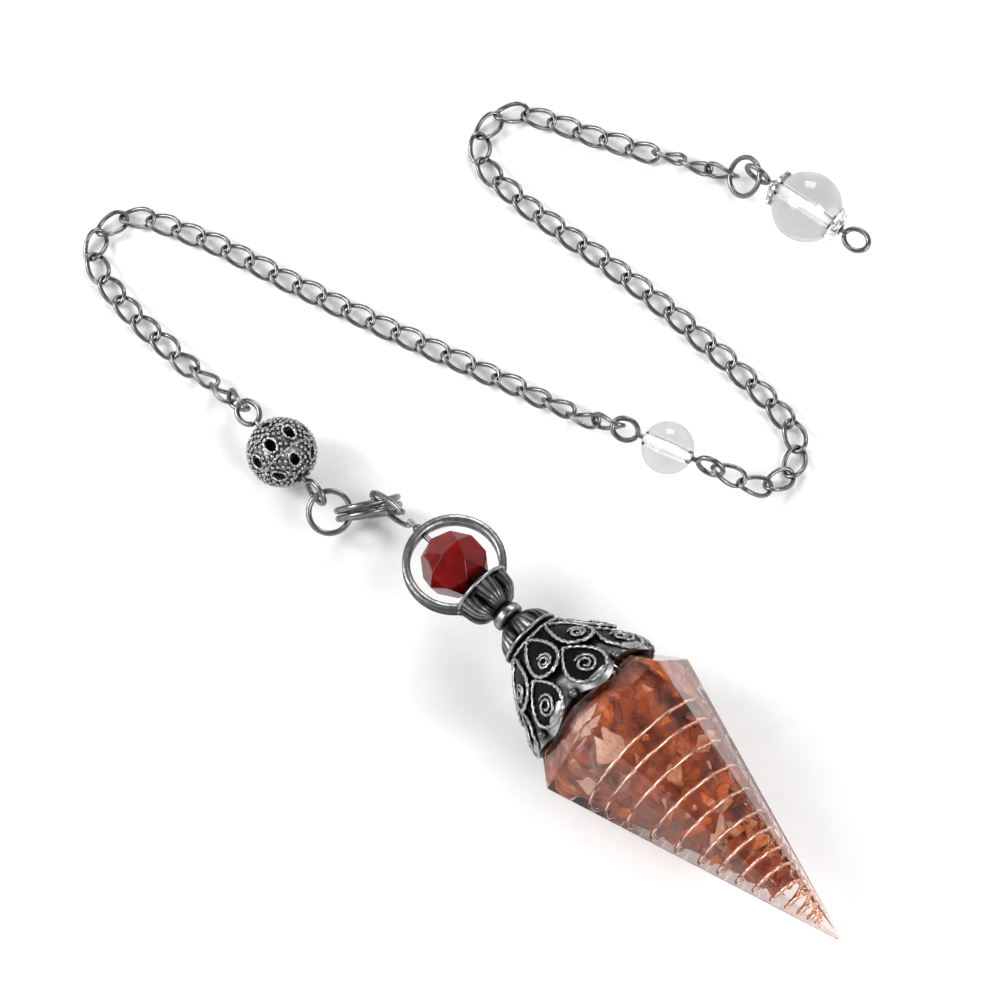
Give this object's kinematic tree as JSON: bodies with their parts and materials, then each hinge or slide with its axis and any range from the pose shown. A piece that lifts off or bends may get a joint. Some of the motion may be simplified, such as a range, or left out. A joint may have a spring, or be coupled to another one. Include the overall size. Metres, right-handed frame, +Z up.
{
  "type": "pendulum pendant",
  "caption": "Clear faceted resin pendulum point with a copper coil and stone chips, silver scroll cap, ring with red bead, and bead and curb chain laid out flat.",
  "frame": {"origin": "centre of the footprint, on the surface that the pendant lies on", "axes": "+Z up from the surface, +Y away from the picture's camera, +X to the picture's right"},
  "size_m": [0.0902, 0.1036, 0.0182],
  "materials": {
    "clear_resin": "clear cast resin, polished facets",
    "copper": "bright copper wire",
    "agate": "tumbled orange and brown chips",
    "antique_silver": "antique silver plate, blackened recesses",
    "red_stone": "polished opaque red",
    "gunmetal": "grey plated wire",
    "dark_silver": "darkened silver filigree",
    "clear_bead": "clear polished glass",
    "bright_silver": "bright silver plate"
  },
  "bodies": {
    "root": {"resin_point": "clear_resin", "copper_coil": "copper", "stone_chips": "agate", "scroll_cap": "antique_silver", "ring_bail": "antique_silver", "red_bead": "red_stone", "bead_pin": "gunmetal", "split_ring": "gunmetal", "jump_ring": "gunmetal", "filigree_ball": "dark_silver", "ball_pin": "gunmetal", "chain_lower": "gunmetal", "small_bead": "clear_bead", "small_bead_pin": "gunmetal", "chain_upper": "gunmetal", "end_ring": "gunmetal", "end_bead": "clear_bead", "end_bead_cap_inner": "bright_silver", "end_bead_cap_outer": "bright_silver", "end_bead_pin": "gunmetal"}
  },
  "joints": []
}
